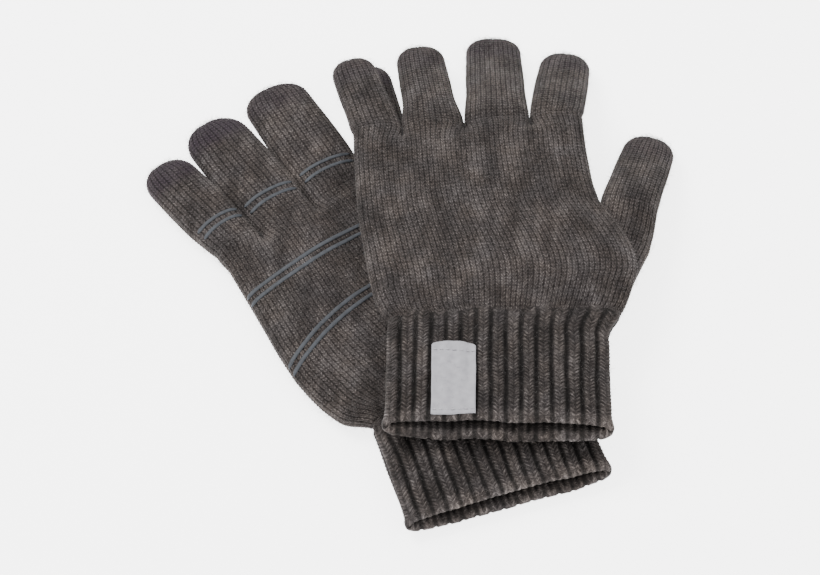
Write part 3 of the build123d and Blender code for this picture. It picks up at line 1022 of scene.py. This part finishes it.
def build_glove(side):
    """Every piece of one glove but the label."""
    glove, local = GLOVES[side], Local(side)
    body = f"{side}_hand"
    palm = palm_cage(glove)
    palm = sag_and_wrinkle(palm, glove, on_top(palm))
    first, cages = {}, {}
    for finger in FINGERS:
        start = np.array([finger_from_palm(palm, row, finger) for row in (-3, -2, -1)])
        rings = finger_rings(glove, finger)
        rings = sag_and_wrinkle(rings, {**glove, "sag": 0.0}, on_top(rings) * FINGER_WRINKLE)
        shift = glove["sag"] * smooth(SAG_FROM, SAG_FULL, FINGERS[finger][0]) * 0.65
        share = np.linspace(0, 1, len(rings)) ** 0.7
        rings[..., 2] -= (shift * (1 - share))[:, None]
        cages[finger] = np.concatenate([start, rings])
        first[finger] = rings[0]
    tube = Tube(np.concatenate([palm, palm_ghost(palm, first)[None]]))
    palm_piece, _ = knit_between(f"{side}_palm", local, tube, 0, len(palm) - 1, 0)
    dress(palm_piece, "body_knit", body, [f"{side}_palm"])
    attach(fuzz(f"{side}_palm_fuzz", local, tube, 0, len(palm) - 1), body)
    gusset = gusset_rings(glove)
    base_row = len(gusset) - 1
    thumb = np.concatenate([gusset, finger_rings(glove, "thumb")])
    thumb = sag_and_wrinkle(thumb, {**glove, "sag": 0.0}, on_top(thumb) * FINGER_WRINKLE)
    gusset_piece, _ = knit_between(f"{side}_thumb_gusset", local, Tube(thumb), 0, base_row, 0)
    dress(gusset_piece, "body_knit", body)
    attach(fuzz(f"{side}_gusset_fuzz", local, Tube(thumb), 2, base_row), body)
    lining = soft_lining(f"{side}_palm_lining", local, tube, 1, len(palm) - 1)
    dress(lining, "brushed_lining", body, [f"{side}_palm_lining"])
    palm_grip(local, side, tube)
    for finger in FINGERS:
        finger_pieces(local, glove, side, finger, cages[finger], 2)
    finger_pieces(local, glove, side, "thumb", thumb, base_row)
    cuff, cuff_tube = cuff_shell(f"{side}_cuff", local, glove, cuff_cage(glove))
    dress(cuff, "rib_knit", body, [f"{side}_cuff"])
    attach(fuzz(f"{side}_cuff_fuzz", local, cuff_tube, 0, len(cuff_tube.cage) - 2, cuff=True), body)
    return local, glove, cuff_tube


def label_pieces(local, glove, tube):
    """The woven label on the cuff's back, from just past the lip, and its stitches."""
    ys = tube.reach(0)
    half = tube.cage.shape[1] // 2
    widest = np.linalg.norm(tube.cage[4, 0] - tube.cage[4, half]) / 2
    section = half_oval(2 * widest, CUFF_HEIGHT, half, CUFF_ROUND)

    def u_of(x):
        return np.interp(-x, -section[:, 0], np.arange(half + 1))

    columns, rows = 25, 41
    xs = np.linspace(-LABEL_WIDTH / 2, LABEL_WIDTH / 2, columns)
    outs = np.linspace(-LABEL_PAST, LABEL_LENGTH - LABEL_PAST, rows)
    grid_x, grid_out = np.meshgrid(xs, outs)
    across = np.abs(grid_x / (LABEL_WIDTH / 2))
    top = (1.2 * across**2 + 0.9 * across**14) * smooth(LABEL_LENGTH - 9, LABEL_LENGTH - LABEL_PAST, grid_out)
    out = grid_out - top
    uu = u_of(LABEL_X + grid_x)
    vv = np.interp(out, ys, np.arange(len(ys)))
    base, normal = tube.at(uu, vv), tube.normal(uu, vv)
    past = np.minimum(out, 0)
    along = tube.at(uu, 0.0 * vv) - tube.at(uu, 0.0 * vv + 0.4)
    along /= np.linalg.norm(along, axis=-1, keepdims=True)
    wave = 0.16 * np.cos(np.pi * uu) + 0.2 * lumps(np.stack([grid_x, grid_out, 0 * grid_x], -1), 8.0, 5.0)
    lift = LABEL_LIFT + wave - 0.5 * np.abs(past) ** 1.6
    face = base + normal * lift[..., None] - along * past[..., None]
    back = face - normal * LABEL_THICK
    count = rows * columns
    index = np.arange(count).reshape(rows, columns)
    border = np.concatenate([index[0], index[1:, -1], index[-1, -2::-1], index[-2:0:-1, 0]])
    a = np.arange(rows - 1)[:, None] * columns + np.arange(columns - 1)[None]
    front = np.stack([a, a + columns, a + columns + 1, a + 1], -1).reshape(-1, 4)
    side = np.stack([border, np.roll(border, -1), np.roll(border, -1) + count, border + count], -1)
    quads = np.concatenate([front, front[:, ::-1] + count, side])
    points = finish_points(local, np.concatenate([face.reshape(-1, 3), back.reshape(-1, 3)]))
    flat = np.stack([np.tile(grid_x.ravel(), 2), np.tile(grid_out.ravel(), 2)], -1) * 0.1
    label = mesh_object("left_cuff_label", points, quads, None, flat[quads].reshape(-1, 2))
    dress(label, "woven_label", "left_hand", ["left_cuff_label"])
    bars = []
    for row_out in STITCH_ROWS:
        for k in range(STITCHES):
            x = LABEL_X + (k - (STITCHES - 1) / 2) * LABEL_WIDTH / STITCHES
            us = u_of(x + np.linspace(-STITCH_LENGTH / 2, STITCH_LENGTH / 2, 7))
            vs = np.interp(row_out, ys, np.arange(len(ys))) + 0 * us
            bars.append(strip(local, tube, us, vs, STITCH_HALF, STITCH_RISE, lift=LABEL_LIFT + 0.1))
    thread = mesh_object("left_label_stitches", *join(bars))
    dress(thread, "label_thread", "left_hand", ["left_label_stitches"])


right = build_glove("right")
left = build_glove("left")
label_pieces(*left)

# ---------------------------------------------------------------- table, light and camera
PHOTO_FROM_WRIST = (-37.3, 32.0, -21.3)  # what the camera looks at, from the upper glove's wrist
ELEVATION, DISTANCE, LENS = 54.0, 1.0, 100.0
TABLE_SIZE, TABLE_DROP, TABLE_GLOW = 8.0, 0.0002, 3.7
WORLD_STRENGTH, KEY_WATTS, FILL_WATTS = 1.25, 26.0, 9.0
WHITE = (1.0, 1.0, 1.0, 1.0)

bpy.ops.mesh.primitive_plane_add(size=TABLE_SIZE, location=(0, 0, -TABLE_DROP))
table = bpy.context.object
table.name = "table"
pale = {
    "Base Color": (0.9, 0.9, 0.9, 1.0),
    "Roughness": 0.9,
    "Emission Color": WHITE,
    "Emission Strength": TABLE_GLOW,
}
table.data.materials.append(Nodes("table").surface(pale))

target = Vector((left[0].origin + np.array(PHOTO_FROM_WRIST)) * MM)
elevation = np.radians(ELEVATION)
camera = bpy.data.objects.new("camera", bpy.data.cameras.new("camera"))
camera.location = target + Vector((0, -np.cos(elevation), np.sin(elevation))) * DISTANCE
camera.rotation_euler = (target - camera.location).to_track_quat("-Z", "Y").to_euler()
camera.data.lens = LENS
camera.data.sensor_width = 36.0
bpy.context.scene.collection.objects.link(camera)
bpy.context.scene.camera = camera


def soft_light(name, place, size, watts):
    """A round lamp aimed at the middle of the pair."""
    lamp = bpy.data.objects.new(name, bpy.data.lights.new(name, "AREA"))
    lamp.data.shape = "DISK"
    lamp.data.size = size
    lamp.data.energy = watts
    lamp.location = Vector(place)
    lamp.rotation_euler = (-lamp.location).to_track_quat("-Z", "Y").to_euler()
    bpy.context.scene.collection.objects.link(lamp)


soft_light("key", (-0.7, 0.5, 1.1), 0.8, KEY_WATTS)
soft_light("fill", (0.9, -0.6, 1.0), 1.2, FILL_WATTS)
world = bpy.data.worlds.new("world")
world.use_nodes = True
world.node_tree.nodes["Background"].inputs[0].default_value = WHITE
world.node_tree.nodes["Background"].inputs[1].default_value = WORLD_STRENGTH
bpy.context.scene.world = world
